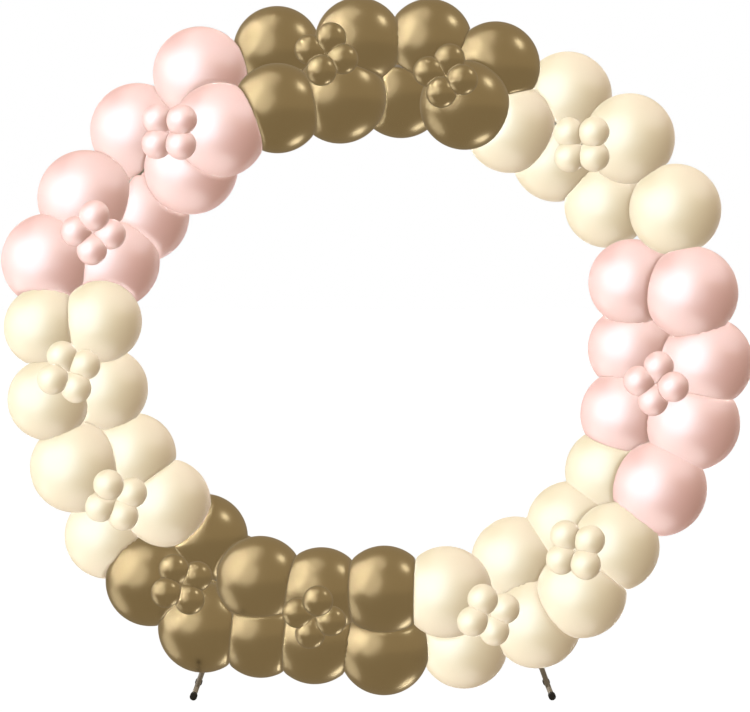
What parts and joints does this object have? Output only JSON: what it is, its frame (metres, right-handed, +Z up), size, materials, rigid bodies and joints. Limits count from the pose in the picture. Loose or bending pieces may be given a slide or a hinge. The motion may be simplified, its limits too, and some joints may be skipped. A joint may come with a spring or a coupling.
{
  "type": "balloon garland",
  "caption": "Free-standing oval ring of large balloons tied round a tube hoop on tube feet, with small balloon clusters on its front, in gold, cream and pink.",
  "frame": {"origin": "on the floor, under the centre of the whole garland's bounding box", "axes": "+X to the right across the ring as seen from the front, +Y to the back, through the ring's opening, +Z up"},
  "size_m": [2.5416, 0.7924, 2.3789],
  "materials": {
    "chrome_gold": "metallic chrome latex, soft mirror gloss",
    "pearl_cream": "pearlescent latex, satin gloss",
    "pearl_pink": "pearlescent latex, satin gloss",
    "tube_steel": "satin grey-brown powder coat",
    "cap_rubber": "matt moulded rubber"
  },
  "bodies": {
    "root": {"cream_cluster_03": "pearl_cream", "cream_cluster_05": "pearl_cream", "cream_cluster_06": "pearl_cream", "cream_cluster_09": "pearl_cream", "cream_cluster_10": "pearl_cream", "cream_quad_05": "pearl_cream", "cream_quad_06": "pearl_cream", "cream_quad_07": "pearl_cream", "cream_quad_12": "pearl_cream", "cream_quad_13": "pearl_cream", "cream_quad_14": "pearl_cream", "cream_quad_15": "pearl_cream", "cream_quad_21": "pearl_cream", "cream_quad_22": "pearl_cream", "cream_quad_23": "pearl_cream", "cream_quad_24": "pearl_cream", "gold_cluster_01": "chrome_gold", "gold_cluster_02": "chrome_gold", "gold_cluster_07": "chrome_gold", "gold_cluster_08": "chrome_gold", "gold_quad_01": "chrome_gold", "gold_quad_02": "chrome_gold", "gold_quad_03": "chrome_gold", "gold_quad_04": "chrome_gold", "gold_quad_16": "chrome_gold", "gold_quad_17": "chrome_gold", "gold_quad_18": "chrome_gold", "gold_quad_19": "chrome_gold", "gold_quad_20": "chrome_gold", "hoop": "tube_steel", "left_back_cap": "cap_rubber", "left_foot": "tube_steel", "left_front_cap": "cap_rubber", "pink_cluster_04": "pearl_pink", "pink_cluster_11": "pearl_pink", "pink_cluster_12": "pearl_pink", "pink_quad_08": "pearl_pink", "pink_quad_09": "pearl_pink", "pink_quad_10": "pearl_pink", "pink_quad_11": "pearl_pink", "pink_quad_25": "pearl_pink", "pink_quad_26": "pearl_pink", "pink_quad_27": "pearl_pink", "pink_quad_28": "pearl_pink", "right_back_cap": "cap_rubber", "right_foot": "tube_steel", "right_front_cap": "cap_rubber"}
  },
  "joints": []
}
